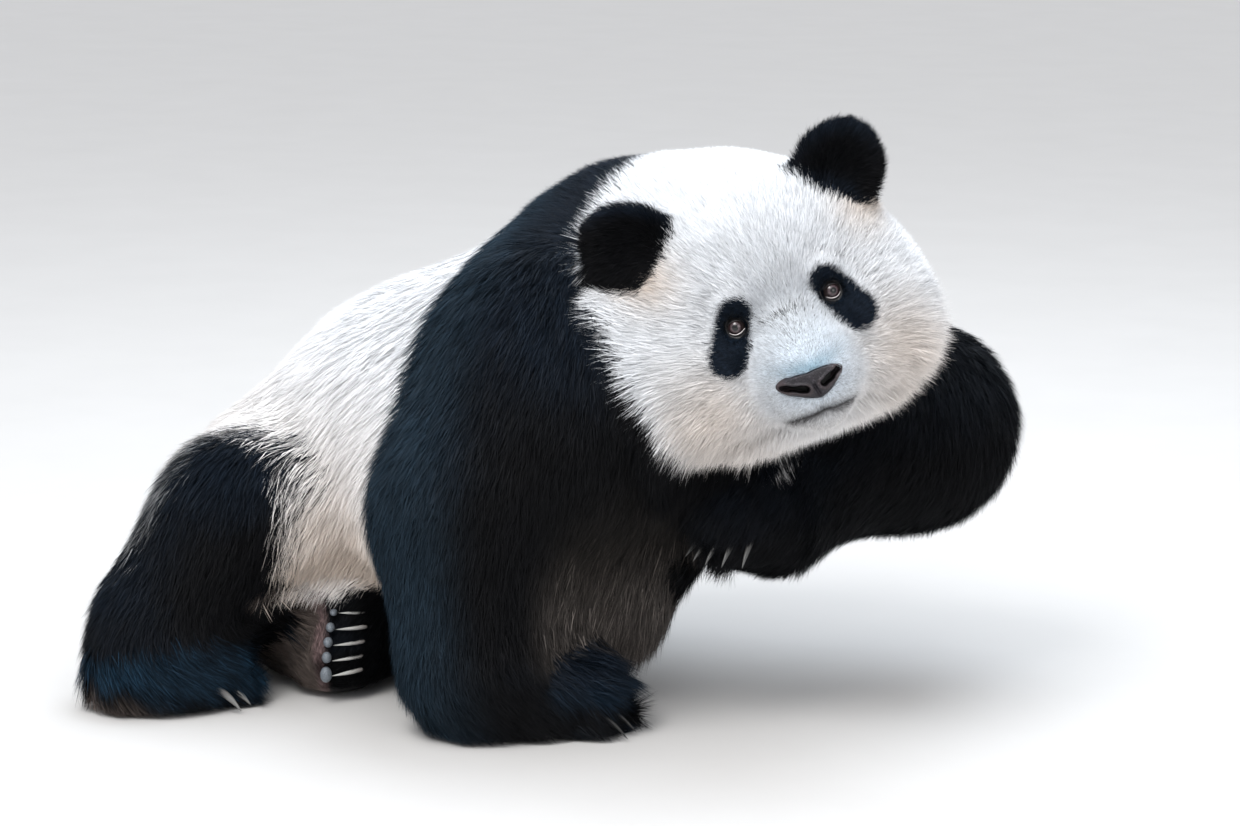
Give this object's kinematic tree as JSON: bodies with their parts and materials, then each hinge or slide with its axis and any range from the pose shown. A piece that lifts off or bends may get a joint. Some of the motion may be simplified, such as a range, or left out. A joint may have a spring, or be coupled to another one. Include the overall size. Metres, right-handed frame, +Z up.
{
  "type": "giant panda",
  "caption": "Life-size still model of a giant panda that half sits and leans forward on one foreleg, the other foreleg folded before its chest and its head turned to the side.",
  "frame": {"origin": "centre of the bounding box in plan, at floor level", "axes": "+X towards the animal's front, +Y to its left, +Z up"},
  "size_m": [0.978, 0.6866, 0.6677],
  "materials": {
    "white_fur": "matte",
    "black_fur": "matte with a faint cool sheen",
    "eye": "wet gloss",
    "nose": "moist, finely pebbled",
    "claw": "satin horn"
  },
  "bodies": {
    "root": {"head": "white_fur", "neck": "white_fur", "rump": "white_fur", "tail": "white_fur", "left_foreleg": "black_fur", "left_forepaw": "black_fur", "right_foreleg": "black_fur", "right_forepaw": "black_fur", "right_hind_leg": "black_fur", "right_hind_foot": "black_fur", "left_hind_leg": "black_fur", "left_hind_foot": "black_fur", "chest": "black_fur", "ear_left": "black_fur", "ear_right": "black_fur", "eye_left": "eye", "eye_right": "eye", "nose": "nose", "claw_right_fore_1": "claw", "claw_right_fore_2": "claw", "claw_right_fore_3": "claw", "claw_right_fore_4": "claw", "claw_right_fore_5": "claw", "claw_left_fore_1": "claw", "claw_left_fore_2": "claw", "claw_left_fore_3": "claw", "claw_left_fore_4": "claw", "claw_left_fore_5": "claw", "claw_right_hind_1": "claw", "claw_right_hind_2": "claw", "claw_right_hind_3": "claw", "claw_right_hind_4": "claw", "claw_right_hind_5": "claw", "claw_left_hind_1": "claw", "claw_left_hind_2": "claw", "claw_left_hind_3": "claw", "claw_left_hind_4": "claw", "claw_left_hind_5": "claw"}
  },
  "joints": []
}
